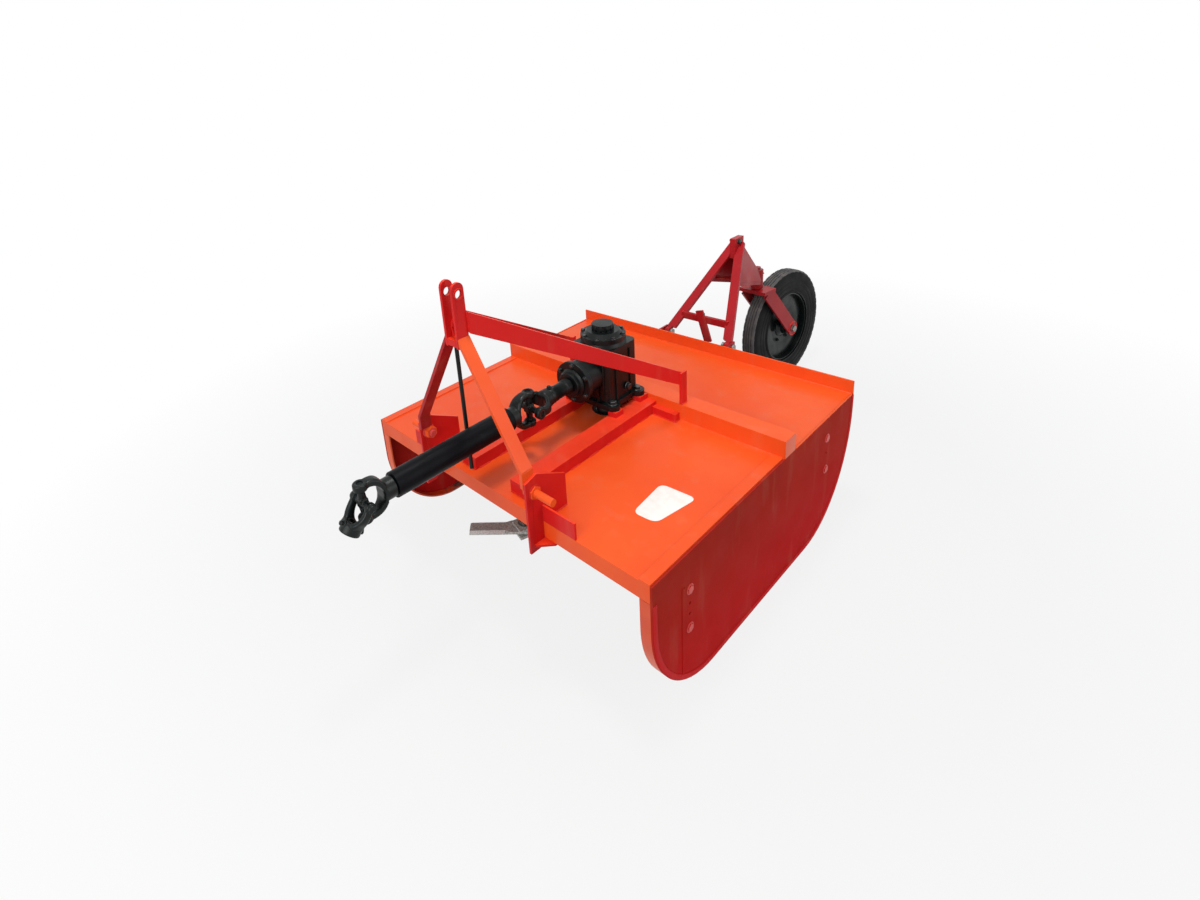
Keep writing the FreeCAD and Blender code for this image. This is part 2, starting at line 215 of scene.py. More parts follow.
def paint(name, colour, shade, rough=0.34, lift=None, gloss=0.16, painted_top_light=None):
    """Gloss enamel on steel: cloudy tone, orange peel, faint dust and rubbed edges.

    lift is the tone towards the ground, painted_top_light a painted light: the lighter tone of the
    faces that look up, as if lit from above.
    """
    s = Shader(name)
    cloud = s.span(s.noise(2.1, 4.0), 0.36, 0.66)
    tone = s.mix(cloud, colour, shade)
    # Painted light: faces that look up take a lighter tone, as if lit from above.
    if painted_top_light is not None:
        normal = s.add("ShaderNodeNewGeometry").outputs["Normal"]
        tone = s.mix(s.span(s.upward(normal), 0.5, 0.9), tone, painted_top_light)
    if lift is not None:
        tone = s.mix(s.span(s.upward(s.place), 0.10, 0.52, 0.75, 0.0), tone, lift)
    fine = s.span(s.noise(28.0, 5.0), 0.42, 0.75, 0.0, 0.20)
    tone = s.mix(fine, tone, shade)
    streak = s.noise(5.0, 4.0, s.stretched((3.0, 3.0, 0.6)))
    dust = s.span(streak, 0.56, 0.80, 0.0, 0.12)
    tone = s.mix(dust, tone, rgb(196, 150, 120))
    edge = edge_mask(s, 0.0020)
    edge = s.math("MULTIPLY", edge, s.span(s.noise(60.0, 4.0), 0.50, 0.66, 0.0, 0.45))
    tone = s.mix(edge, tone, rgb(110, 62, 48))
    roughness = s.span(s.noise(9.0, 5.0), 0.3, 0.75, rough - 0.06, rough + 0.10)
    peel = s.bump(s.noise(260.0, 2.0), 0.08, 0.0006)
    dent = s.bump(s.noise(7.0, 2.0), 0.12, 0.004, peel)
    roughness = s.math("ADD", roughness, s.math("MULTIPLY", edge, 0.4))
    s.set(Base_Color=tone, Roughness=roughness, Normal=dent, Specular_IOR_Level=gloss)
    return s.material


def runner(name, colour, shade):
    """Runner paint that is worn to bare, lightly rusted steel along the ground."""
    s = Shader(name)
    tone = s.mix(s.span(s.noise(4.0, 4.0), 0.36, 0.66), colour, shade)
    ragged = s.math("ADD", s.upward(s.place), s.math("MULTIPLY", s.noise(26.0, 5.0), 0.05))
    worn = s.span(ragged, 0.030, 0.042, 1.0, 0.0)
    scratched = s.span(s.noise(40.0, 5.0, s.stretched((6.0, 0.6, 6.0))), 0.4, 0.62)
    bare = s.mix(scratched, rgb(128, 122, 116), rgb(96, 66, 48))
    roughness = s.span(s.noise(12.0, 4.0), 0.3, 0.7, 0.36, 0.52)
    s.set(Base_Color=s.mix(worn, tone, bare), Roughness=roughness)
    s.set(Metallic=s.math("MULTIPLY", worn, 0.7), Normal=s.bump(s.noise(120.0, 4.0), 0.15, 0.0008))
    return s.material


def cast(name, colour, light):
    """Black enamel over rough casting."""
    s = Shader(name)
    tone = s.mix(s.span(s.noise(6.0, 5.0), 0.42, 0.74), colour, light)
    grit = s.span(s.noise(90.0, 6.0), 0.58, 0.82, 0.0, 0.35)
    tone = s.mix(grit, tone, rgb(30, 36, 35))
    edge = edge_mask(s, 0.0022)
    edge = s.math("MULTIPLY", edge, s.span(s.noise(45.0, 3.0), 0.48, 0.64, 0.08, 0.55))
    tone = s.mix(edge, tone, rgb(66, 76, 76))
    roughness = s.span(s.noise(14.0, 4.0), 0.3, 0.7, 0.23, 0.45)
    sand = s.bump(s.noise(190.0, 5.0), 0.30, 0.0012)
    lumps = s.bump(s.noise(24.0, 3.0), 0.20, 0.003, sand)
    s.set(Base_Color=tone, Roughness=roughness, Normal=lumps, Specular_IOR_Level=0.24)
    return s.material


def steel(name, colour, dark, rough=0.34, grain=(4.0, 4.0, 220.0), rust=0.10, metal=1.0):
    """Bare or plated steel: directional grain, smudges and a little rust bloom."""
    s = Shader(name)
    lines = s.noise(3.0, 6.0, s.stretched(grain))
    tone = s.mix(s.span(lines, 0.35, 0.65), colour, dark)
    bloom = s.span(s.noise(35.0, 6.0), 0.60, 0.74, 0.0, rust * 4.0)
    tone = s.mix(bloom, tone, rgb(112, 70, 44))
    smudge = s.span(s.noise(18.0, 4.0), 0.3, 0.7, rough - 0.08, rough + 0.12)
    s.set(Base_Color=tone, Roughness=s.math("ADD", smudge, bloom),
          Normal=s.bump(lines, 0.12, 0.0005), Metallic=s.span(bloom, 0.0, 0.4, metal, 0.25))
    return s.material


def rubber_side(name):
    """Dull black sidewall rubber."""
    s = Shader(name)
    tone = s.mix(s.span(s.noise(5.0, 4.0), 0.35, 0.7), rgb(15, 15, 16), rgb(30, 30, 31))
    roughness = s.span(s.noise(12.0, 4.0), 0.3, 0.7, 0.48, 0.68)
    s.set(Base_Color=tone, Roughness=roughness, Specular_IOR_Level=0.08,
          Normal=s.bump(s.noise(140.0, 4.0), 0.22, 0.001))
    return s.material


def rubber_tread(name):
    """Tread worn grey, with soil in the grooves."""
    s = Shader(name)
    tone = s.mix(s.span(s.noise(9.0, 5.0), 0.35, 0.68), rgb(104, 101, 101), rgb(72, 70, 71))
    soil = s.span(s.noise(22.0, 5.0), 0.52, 0.72, 0.0, 0.55)
    tone = s.mix(soil, tone, rgb(128, 118, 108))
    sipes = s.noise(60.0, 5.0, s.stretched((1.0, 6.0, 6.0)))
    s.set(Base_Color=tone, Roughness=0.86, Normal=s.bump(sipes, 0.5, 0.0025),
          Specular_IOR_Level=0.2)
    return s.material


def plastic(name, colour, light):
    """Black moulded plastic, scuffed along its length."""
    s = Shader(name)
    tone = s.mix(s.span(s.noise(7.0, 4.0), 0.4, 0.7), colour, light)
    scuff = s.span(s.noise(14.0, 6.0, s.stretched((8.0, 0.8, 8.0))), 0.60, 0.74, 0.0, 0.22)
    tone = s.mix(scuff, tone, rgb(64, 66, 68))
    roughness = s.span(s.noise(20.0, 4.0), 0.3, 0.7, 0.36, 0.5)
    s.set(Base_Color=tone, Roughness=roughness, Specular_IOR_Level=0.07,
          Normal=s.bump(s.noise(300.0, 3.0), 0.12, 0.0006))
    return s.material


def vinyl(name):
    """Blank white sticker, slightly yellowed in clouds."""
    s = Shader(name)
    tone = s.mix(s.span(s.noise(30.0, 4.0), 0.4, 0.7), rgb(240, 236, 230), rgb(232, 226, 218))
    s.set(Base_Color=tone, Roughness=0.38, Normal=s.bump(s.noise(120.0, 3.0), 0.15, 0.0004))
    return s.material


ORANGE = paint("enamel_orange", rgb(238, 90, 34), rgb(230, 78, 28), gloss=0.22)
# Painted light: the red's faces that look up turn lighter and more orange, as if lit from above.
RED = paint("enamel_red", rgb(218, 34, 30), rgb(198, 28, 28), painted_top_light=rgb(234, 62, 34))
CRIMSON = paint("enamel_crimson", rgb(172, 28, 34), rgb(152, 24, 30))
# Painted shade: the side plates take a darker, duller copy of the red, as if they stood in shade.
PAINTED_SHADE_RED = paint("enamel_red_painted_shade", rgb(174, 46, 32), rgb(158, 38, 28),
                 rough=0.60, lift=rgb(204, 28, 32), gloss=0.02)
# Painted highlight: the edge strips take a lighter red than the side plates, so that they read as a
# bright line.
PAINTED_HIGHLIGHT_STRIP_RED = paint("enamel_strip_painted_highlight", rgb(206, 42, 40), rgb(190, 34, 36),
                 rough=0.55, lift=rgb(214, 40, 44), gloss=0.04)
# Painted highlight: bolt heads, washers and pin ends take a lighter, pinker copy of the red, as if
# catching the light.
PAINTED_HIGHLIGHT_PINK = paint("enamel_pink_painted_highlight", rgb(222, 84, 78), rgb(204, 66, 62))
RUNNER = runner("runner_enamel", rgb(228, 86, 34), rgb(206, 68, 28))
BLACK = cast("enamel_black_casting", rgb(6, 10, 10), rgb(15, 22, 22))
GUARD = plastic("guard_plastic", rgb(6, 7, 10), rgb(12, 13, 17))
STEEL = steel("plated_steel", rgb(160, 160, 156), rgb(112, 112, 110))
DARK_STEEL = steel("dark_fastener", rgb(92, 96, 96), rgb(54, 58, 58),
                   rough=0.36, grain=(4.0, 4.0, 60.0), rust=0.04)
BLADE = steel("blade_steel", rgb(196, 194, 188), rgb(140, 138, 134),
              rough=0.50, grain=(60.0, 60.0, 4.0), rust=0.08, metal=0.25)
GROUND_EDGE = steel("blade_ground_edge", rgb(232, 232, 228), rgb(200, 200, 196),
                    rough=0.34, grain=(90.0, 90.0, 4.0), rust=0.02, metal=0.35)
SIDEWALL = rubber_side("tyre_sidewall")
TREAD = rubber_tread("tyre_tread")
STICKER = vinyl("blank_sticker")

# The finish of each CAD node; nodes that are not named here are RED.
FINISH = (
    (ORANGE, "deck_plate rear_rail cross_beam lower_pin_l lower_pin_r mast_leg_r"),
    (PAINTED_SHADE_RED, "side_plate_l side_plate_r"),
    (CRIMSON, "mast_leg_l tail_leg_l tail_leg_r tail_cross tail_strut tail_stay_l tail_stay_r"
              " king_housing height_strap fork_crown fork_arm_l fork_arm_r tail_lug_l tail_lug_r"),
    (RUNNER, "skid_runner_l skid_runner_r"),
    (BLACK, "gearbox_base gearbox_housing gearbox_cover input_housing input_yoke cross_inner"
            " shaft_fork_inner shaft_fork_outer cross_outer end_yoke wheel_disc shaft_hanger"),
    (GUARD, "shaft_guard"),
    (STEEL, "blade_bolt_1 blade_bolt_2 wheel_axle tail_pin_l tail_pin_r"),
    (DARK_STEEL, "rotor_spindle"),
    (BLADE, "blade_1 blade_2 carrier_upper carrier_lower carrier_spacer"),
    (SIDEWALL, "tyre"),
)
MATERIAL = {name: RED for name in frame["nodes"]}
for finish, names in FINISH:
    MATERIAL.update({name: finish for name in names.split()})

EDGE_ROUND = 0.0014  # metres, for the nodes that ROUNDED does not name
ROUNDED = {name: width for width, names in (
    (0.0012, "skid_runner_l skid_runner_r"),
    (0.0020, "input_yoke shaft_fork_inner shaft_fork_outer end_yoke"),
    (0.0025, "gearbox_base input_housing"),
    (0.0030, "gearbox_housing gearbox_cover"),
) for name in names.split()}
FLAT_CUT = ("side_plate", "fork_arm")  # flame-cut plates, whose edges stay sharp
WELD_GAP = 0.00002  # metres between vertices that count as one
BOLT_HEAD_X = 0.7535  # metres; only the side plates' bolt heads stand out past this


def recolour(obj, material, chosen):
    """Gives the faces whose centre passes a test another finish."""
    obj.data.materials.append(material)
    for face in obj.data.polygons:
        if chosen(face.center):
            face.material_index = len(obj.data.materials) - 1


def dress_cad():
    """Gives every CAD node its finish, smooth curves and eased edges."""
    for name, obj in frame["nodes"].items():
        obj.data.materials.clear()
        obj.data.materials.append(MATERIAL[name])
        obj.data.shade_smooth()
        obj.data.set_sharp_from_angle(angle=math.radians(32))
        if name.startswith(FLAT_CUT):
            continue
        weld = obj.modifiers.new("weld", "WELD")
        weld.merge_threshold = WELD_GAP
        round_off = obj.modifiers.new("round_off", "BEVEL")
        round_off.width = ROUNDED.get(name, EDGE_ROUND)
        round_off.segments = 2
        round_off.limit_method = "ANGLE"
        round_off.angle_limit = math.radians(38)
        round_off.use_clamp_overlap = True
        flat = obj.modifiers.new("flat_faces", "WEIGHTED_NORMAL")
        flat.mode = "FACE_AREA"
        flat.weight = 100
        flat.keep_sharp = True
    # Painted highlight: the side plates' bolt heads take a lighter, pinker red than the plates.
    for side in ("l", "r"):
        plate = frame["nodes"]["side_plate_" + side]
        recolour(plate, PAINTED_HIGHLIGHT_PINK, lambda c: abs(c.x) > BOLT_HEAD_X)


# ---- mesh helpers ----
def new_object(name, data):
    obj = bpy.data.objects.new(name, data)
    bpy.context.scene.collection.objects.link(obj)
    return obj


def moved(by):
    return Matrix.Translation(by)


def turned(angle, axis="Z"):
    return Matrix.Rotation(angle, 4, axis)


def facing(point, axis, turn=0.0):
    """Matrix that puts local +Z on the axis, with its origin at a point."""
    aim = axis.normalized().to_track_quat("Z", "Y").to_matrix().to_4x4()
    return moved(point) @ aim @ turned(turn)


def raised(place, height):
    """The same matrix, moved along its own +Z."""
    return place @ moved((0, 0, height))


def skin(bm, rings, matrix=Matrix.Identity(4), closed=False, caps=True):
    """Joins equal rings of points with quads; caps the two ends unless closed on itself."""
    rows = [[bm.verts.new(matrix @ Vector(p)) for p in ring] for ring in rings]
    count = len(rows[0])
    for a, b in zip(rows, rows[1:] + rows[:1] if closed else rows[1:]):
        for i in range(count):
            bm.faces.new((a[i], a[(i + 1) % count], b[(i + 1) % count], b[i]))
    if caps and not closed:
        bm.faces.new(rows[0][::-1])
        bm.faces.new(rows[-1])


def polar(radius, turn):
    return radius * math.cos(turn), radius * math.sin(turn)


def circle(radius, height, steps):
    return [(*polar(radius, math.tau * i / steps), height) for i in range(steps)]


def splined(first, second, tooth, height, steps):
    """Circle of two radii in turn; tooth is the steps of both together."""
    ring = []
    for i in range(steps):
        r = first if i % tooth < tooth / 2 else second
        ring.append((*polar(r, math.tau * i / steps), height))
    return ring


def lathe(bm, profile, matrix, steps=24, closed=False):
    """Profile of (radius, height) pairs turned round local Z; closed makes a hollow ring."""
    skin(bm, [circle(r, z, steps) for r, z in profile], matrix, closed)


def washered_nut(bm, place, washer, steps, across, height):
    """Nut on a washer of that radius, 3 mm thick."""
    lathe(bm, [(washer, 0), (washer, 0.003)], place, steps)
    hexagon(bm, raised(place, 0.003), across, height)


def hexagon(bm, matrix, across, height):
    """Hexagon nut or bolt head with a chamfered top."""
    r = across / math.sqrt(3)
    skin(bm, [circle(r, 0, 6), circle(r, height * 0.82, 6), circle(r * 0.86, height, 6)], matrix)


def bolt(bm, point, axis, size, stud=False):
    """Washer and head of a bolt of that thread size; stud adds the end of its thread."""
    place = facing(point, axis, RNG.uniform(0, math.tau))
    lathe(bm, [(size * 1.05, 0), (size * 1.12, size * 0.05), (size * 1.05, size * 0.18)], place, 20)
    up = raised(place, size * 0.18)
    hexagon(bm, up, size * 1.6, size * 0.68)
    if stud:
        thread = [(size * 0.5, size * 0.6), (size * 0.5, size * 1.05), (size * 0.38, size * 1.18)]
        lathe(bm, thread, up, 12)


def slab(bm, matrix, size, bevel):
    """Box round a matrix's origin, with its edges rounded off."""
    made = bmesh.ops.create_cube(bm, size=1.0)["verts"]
    bmesh.ops.transform(bm, matrix=matrix @ Matrix.Diagonal((*size, 1.0)), verts=made)
    edges = list({e for v in made for e in v.link_edges})
    bmesh.ops.bevel(bm, geom=edges, offset=bevel, segments=2, affect="EDGES", profile=0.5)


def rod_along(bm, points, radius, steps=10):
    """Round rod through points."""
    rings = []
    for i, p in enumerate(points):
        ahead = points[min(i + 1, len(points) - 1)] - points[max(i - 1, 0)]
        place = facing(p, ahead)
        rings.append([place @ Vector(q) for q in circle(radius, 0, steps)])
    skin(bm, rings)


def ripple(radius, i):
    """Radius of a weld bead at its i-th section: every other one is a hollow."""
    return radius * (1.0 if i % 2 else 0.82) * RNG.uniform(0.94, 1.06)


def bead(bm, a, b, radius=0.004, pitch=0.0045):
    """Weld bead from a to b: overlapping ripples with an uneven toe."""
    count = max(3, int((b - a).length / pitch))
    line = []
    for i in range(count + 1):
        wander = Vector([RNG.uniform(-1, 1) * radius * 0.12 for _ in range(3)])
        line.append(a.lerp(b, i / count) + wander)
    rings = []
    for i, p in enumerate(line):
        r = ripple(radius, i) * (0.5 if i in (0, count) else 1.0)
        rings.append([facing(p, b - a) @ Vector(q) for q in circle(r, 0, 7)])
    skin(bm, rings)


def round_bead(bm, centre, axis, ring_radius, radius=0.0035, start=0.0, sweep=math.tau):
    """Weld bead along a circle or an arc."""
    place = facing(centre, axis)
    steps = 60
    rings = []
    for i in range(steps + 1):
        turn = start + sweep * i / steps
        out = Vector((math.cos(turn), math.sin(turn), 0))
        r = ripple(radius, i)
        rings.append([place @ (out * (ring_radius + r * math.cos(a)) + Z * r * math.sin(a))
                      for a in (math.tau * k / 7 for k in range(7))])
    skin(bm, rings)


def piece(name, bm, material, body, smooth=34):
    """Turns the mesh into a named piece of that body."""
    bmesh.ops.recalc_face_normals(bm, faces=bm.faces)
    mesh = bpy.data.meshes.new(name)
    bm.to_mesh(mesh)
    bm.free()
    mesh.shade_smooth()
    mesh.set_sharp_from_angle(angle=math.radians(smooth))
    for one in material if isinstance(material, tuple) else (material,):
        mesh.materials.append(one)
    obj = new_object(name, mesh)
    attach(obj, body)
    return obj


# ---- welds ----
def deck_welds():
    """Beads along the cross beam, the rear rail and the rear of the side plates."""
    bm = bmesh.new()
    beam_front, beam_rear = low("cross_beam").y, high("cross_beam").y
    for side in BOTH:
        x = side * (HALF_W - 0.009)
        bead(bm, Vector((x, beam_rear + 0.004, DECK_TOP)), Vector((x, REAR_Y - 0.012, DECK_TOP)))
    end = HALF_W - 0.01
    for y in (beam_front, beam_rear, low("rear_rail").y):
        bead(bm, Vector((-end, y, DECK_TOP)), Vector((end, y, DECK_TOP)), 0.0045, 0.006)
    piece("deck_weld_beads", bm, ORANGE, "deck", 60)


def spindle_seal():
    """Seal ring round the rotor spindle where it passes the deck."""
    c = joint_at("rotor_spin")
    profile = [(0.0500, -0.008), (0.0505, 0.0002), (0.0640, 0.0002), (0.0640, 0.003),
               (0.0600, 0.005), (0.0500, 0.005), (0.0466, 0.002), (0.0464, -0.008)]
    bm = bmesh.new()
    lathe(bm, profile, facing(Vector((c.x, c.y, DECK_TOP)), Z), 48, True)
    piece("spindle_seal", bm, BLACK, "deck")


def frame_welds():
    """Beads of the hitch frame: stitches along the rails, runs at the brackets."""
    top = DECK_Z
    runs = [
        (100, -706, top, 185, -706, top), (186, 72, top, 300, 72, top),
        (300, 73, top, 300, 102, top), (310, -737, top, 450, -737, top),
        (308, -737, 562, 308, -737, 622), (308, -735, top, 308, -624, top),
        (296, -735, top, 296, -624, top), (296, -764, 724, 296, -764, 757),
        (296, -816, 722, 296, -766, 722), (300, 104, 636, 300, 144, 636),
        (311, 104, 636, 311, 144, 636), (300, 145, 636, 311, 145, 636),
        (37, -816, 1180, 37, -766, 1180), (37, -765, 1214, 37, -765, 1288),
    ]
    bm = bmesh.new()
    for sign in BOTH:
        for x in (100, 185):
            for k in range(7):
                y = -690 + k * 112
                bead(bm, at(sign * x, y, top), at(sign * x, y + 60, top))
        for x0, y0, z0, x1, y1, z1 in runs:
            bead(bm, at(sign * x0, y0, z0), at(sign * x1, y1, z1), 0.0038)
    piece("frame_weld_beads", bm, RED, "deck", 60)


def tail_welds():
    """Beads of the tail frame, with an arc round its kingpin housing."""
    bm = bmesh.new()
    for sign in BOTH:
        for z in (661, 697):
            bead(bm, tail(sign * 131, 867, z), tail(sign * 131, 885, z), 0.003)
        bead(bm, tail(sign * 17, 1160, 952), tail(sign * 17, 1196, 1012), 0.0035)
        bead(bm, tail(sign * 60, 1100, 834), tail(sign * 30, 1400, 744), 0.0032)
    round_bead(bm, tail(0, KING_Y, 776), Z, 0.0350,
               start=math.radians(200), sweep=math.radians(140))
    piece("tail_weld_beads", bm, RED, "tail_frame", 60)


def fork_welds():
    """Beads where the fork's arms meet its crown, the axle ends and the kingpin."""
    bm = bmesh.new()
    for sign in BOTH:
        for x, z in ((66, 663), (79, 665)):
            bead(bm, fork_point(sign * x, -46, z), fork_point(sign * x, 50, z), 0.0035)
        round_bead(bm, fork_point(sign * 78.5, 276, 358), AXLE, 0.042, 0.003)
    round_bead(bm, fork_point(0, 0, 685), Z, 0.021, 0.003)
    piece("fork_weld_beads", bm, RED, "fork", 60)


# ---- fasteners and fittings ----
def gearbox_bolts():
    """Foot bolts, a ring on the cover, a ring on the input housing and three plugs."""
    bm = bmesh.new()
    foot = high("gearbox_base").z / MM
    for sx in BOTH:
        for sy in BOTH:
            bolt(bm, at(sx * 106, GEARBOX_Y + sy * 86, foot), Z, 0.018)
    crown = middle("gearbox_cover")
    cover_z = 0.935
    for k in range(8):
        x, y = polar(0.0895, math.tau * (k + 0.5) / 8)
        bolt(bm, Vector((crown.x + x, crown.y + y, cover_z)), Z, 0.009)
    face = at(0, INPUT_Y, SHAFT_Z)
    for k in range(6):
        x, z = polar(0.078, math.tau * (k + 0.5) / 6)
        bolt(bm, face + Vector((x, 0, z)), -Y, 0.010)
    bolt(bm, at(106, GEARBOX_Y + 20, 700), X, 0.016)
    bolt(bm, at(106, GEARBOX_Y - 20, 800), X, 0.012)
    bolt(bm, at(-106, GEARBOX_Y + 20, 700), -X, 0.016)
    piece("gearbox_bolts", bm, DARK_STEEL, "deck")


def gearbox_ribs():
    """Cap with its grips, cast ribs on the housing and the front cap that the input turns in."""
    bm = bmesh.new()
    crown = middle("gearbox_cover")
    lid = Vector((crown.x, crown.y, high("gearbox_cover").z))
    lathe(bm, [(0.030, -0.001), (0.030, 0.0), (0.024, 0.0003), (0.022, -0.001)],
          facing(lid - Z * 0.0004, Z), 32)
    for k in range(12):
        spoke = moved(lid - Z * 0.014) @ turned(math.tau * k / 12)
        slab(bm, spoke @ moved((0.0462, 0, 0)), (0.004, 0.009, 0.024), 0.001)
    for x in (-74, 74):
        for y in (-104, 104):
            rib = moved(at(x, GEARBOX_Y + y, 790))
            slab(bm, rib, (0.012, 0.010, 0.180), 0.003)
    lathe(bm, [(0.060, 0), (0.064, 0.004), (0.058, 0.010), (0.0535, 0.012)],
          facing(at(0, INPUT_Y, SHAFT_Z), -Y), 40)
    piece("gearbox_cast_ribs", bm, BLACK, "deck")


def hitch_collars():
    """Collars of the lower pins, bushes of the top link hole and chamfered pin ends."""
    bm = bmesh.new()
    for sign in BOTH:
        out = X * sign
        lathe(bm, [(0.0276, -0.0005), (0.0290, 0.001), (0.0290, 0.002), (0.0266, 0.003)],
              facing(at(sign * BRACKET_X, HITCH_Y, HITCH_Z), out), 32)
        bush = [(0.0215, 0), (0.0220, 0.0012), (0.0212, 0.0030), (0.0166, 0.0034),
                (0.0152, 0.0028), (0.0152, 0)]
        skin(bm, [circle(r, z, 28) for r, z in bush],
             facing(at(sign * 36, EAR_Y, EAR_Z), out), caps=False)
        lathe(bm, [(0.0142, -0.002), (0.0142, 0.0), (0.0118, 0.0024)],
              facing(at(sign * 391.5, HITCH_Y, HITCH_Z), out), 24)
    piece("hitch_collars", bm, RED, "deck")


def hitch_pin_ends():
    """Threaded inner ends of the lower pins, on their nuts."""
    bm = bmesh.new()
    for sign in BOTH:
        nut = facing(at(sign * 271.2, HITCH_Y, HITCH_Z), -X * sign)
        lathe(bm, [(0.0195, -0.001), (0.0195, 0.0003), (0.0150, 0.0012), (0.0140, 0.0012),
                   (0.0140, 0.0075), (0.0120, 0.0095)], nut, 28)
        lathe(bm, [(0.0290, -0.0258), (0.0290, -0.0238), (0.0270, -0.0230)], nut, 36)
    # The pin ends take the light pink red of the painted highlight.
    piece("hitch_pin_ends", bm, PAINTED_HIGHLIGHT_PINK, "deck")


def hanger_loop():
    """Bent rod between the mast ears, from which the shaft hanger hangs."""
    bm = bmesh.new()
    half = [(-20, 1196), (-20, 1232), (-17, 1247), (-9, 1256)]
    bend = half + [(0, 1259)] + [(-x, z) for x, z in reversed(half)]
    rod_along(bm, [at(x, EAR_Y, z) for x, z in bend], 0.0065, 12)
    piece("hanger_loop", bm, RED, "deck")


def side_fittings():
    """Washers under the adjuster bolt heads, with nuts inside the side plates."""
    washers, nuts = bmesh.new(), bmesh.new()
    for sign in BOTH:
        for y, z in ((-543, 413), (-544, 255), (488, 464), (491, 311)):
            washer = [(0.0190, -0.0005), (0.0195, 0.0010), (0.0186, 0.0022), (0.0140, 0.0024)]
            lathe(washers, washer, facing(at(sign * 750, y, z), X * sign), 32)
            place = facing(at(sign * 742, y, z), -X * sign)
            washered_nut(nuts, place, 0.017, 24, 0.024, 0.012)
            lathe(nuts, [(0.0078, 0.012), (0.0078, 0.022), (0.0064, 0.024)], place, 16)
    # The washers take the light pink red of the painted highlight.
    piece("side_bolt_washers", washers, PAINTED_HIGHLIGHT_PINK, "deck")
    piece("side_bolt_nuts", nuts, DARK_STEEL, "deck")


def plate_outline(inset):
    """Edge of a side plate from its front top under to its rear top, as (y, z) for at()."""
    def quarter(cy, cz, ry, rz, start):
        turns = [math.radians(start + 6 * k) for k in range(16)]
        return [(cy + ry * math.cos(turn), cz + rz * math.sin(turn)) for turn in turns]
    front, rear, ground = -746 + inset, 746 - inset, inset
    return ([(front, 486)] + quarter(-400, 372, -400 - front, 372 - ground, 180)
            + quarter(330, 500, rear - 330, 500 - ground, 270) + [(rear, 556)])


def plate_rims():
    """Raised edge strip and its weld along the curved edge of each side plate."""
    outer, inner = plate_outline(1.5), plate_outline(21)
    bm, seam = bmesh.new(), bmesh.new()
    for sign in BOTH:
        lift = X * sign * 0.0028
        rings = []
        for (y0, z0), (y1, z1) in zip(outer, inner):
            a, b = at(sign * 749.8, y0, z0), at(sign * 749.8, y1, z1)
            rings.append([a, a + lift * 0.75, a.lerp(b, 0.06) + lift, a.lerp(b, 0.94) + lift,
                          b + lift * 0.75, b])
        skin(bm, rings)
        path = [at(sign * 750.2, y, z) for y, z in plate_outline(22)]
        for p, q in zip(path, path[1:]):
            if (q - p).length > 0.004:
                bead(seam, p, q, 0.0016, 0.005)
    # The strip takes a lighter red than the plate, a painted highlight; its weld takes the plate's
    # painted-shade red.
    piece("side_edge_strips", bm, PAINTED_HIGHLIGHT_STRIP_RED, "deck", 50)
    piece("side_edge_welds", seam, PAINTED_SHADE_RED, "deck", 60)


def sticker():
    """Blank label on the right of the deck, its corners slightly rounded."""
    bm = bmesh.new()
    corners = [at(x, y, DECK_Z) for x, y in ((507, -509), (596, -501), (630, -304), (490, -314))]
    corner_size, steps = 0.030, 6
    rounded = []
    for i, c in enumerate(corners):
        before = (corners[i - 1] - c).normalized()
        after = (corners[(i + 1) % 4] - c).normalized()
        for k in range(steps + 1):
            t = k / steps
            rounded.append(c + before * corner_size * (1 - t) ** 2 + after * corner_size * t ** 2)
    centre = sum(rounded, Vector()) / len(rounded)
    lower = [p + Z * 0.0002 for p in rounded]
    upper = [p + Z * 0.0007 for p in rounded]
    inner = [p.lerp(centre, 0.012) + Z * 0.0009 for p in rounded]
    skin(bm, [lower, upper, inner])
    piece("blank_sticker", bm, STICKER, "deck")


# ---- drive shaft ----
# Each fork in millimetres: half its span over the ears, ear thickness, depth of its mouth,
# reach of its hub, width of its ears and radius of its hub.
INNER_FORK = (76, 24, 66, 112, 48, 38)
FRONT_FORK = (74, 26, 66, 118, 48, 38)
END_FORK = (56, 20, 66, 106, 36, 37)
END_DROOP = math.radians(50)  # how far the free end fork hangs down
CUP_R = 0.0149  # radius of the bearing cups' bores
SPLINE_R = 0.0268  # radius of the sliding shaft and of the gearbox shaft
# Each body's fork: its joint, its way along the shaft, whether its ears stand upright, its droop.
SEAT = {
    "input": ("inner_joint_lift", 1, False, 0.0),
    "shaft_rear": ("inner_joint_lift", -1, True, 0.0),
    "shaft_front": ("outer_joint_lift", 1, True, 0.0),
    "end": ("outer_joint_lift", -1, False, END_DROOP),
}


def smooth_path(stations, count):
    """Catmull-Rom samples through rows of numbers."""
    out = []
    last = len(stations) - 1
    for i in range(count + 1):
        t = min(i / count * last, last - 1e-6)
        k = int(t)
        u = t - k
        p0, p1, p2, p3 = (stations[max(0, min(last, k + j))] for j in (-1, 0, 1, 2))
        out.append([
            0.5 * (2 * b + (c - a) * u + (2 * a - 5 * b + 4 * c - d) * u * u
                   + (3 * b - a - 3 * c + d) * u ** 3)
            for a, b, c, d in zip(p0, p1, p2, p3)])
    return out


def squarish(value):
    """Sine or cosine bent towards a square with round corners."""
    return math.copysign(abs(value) ** 0.62, value)


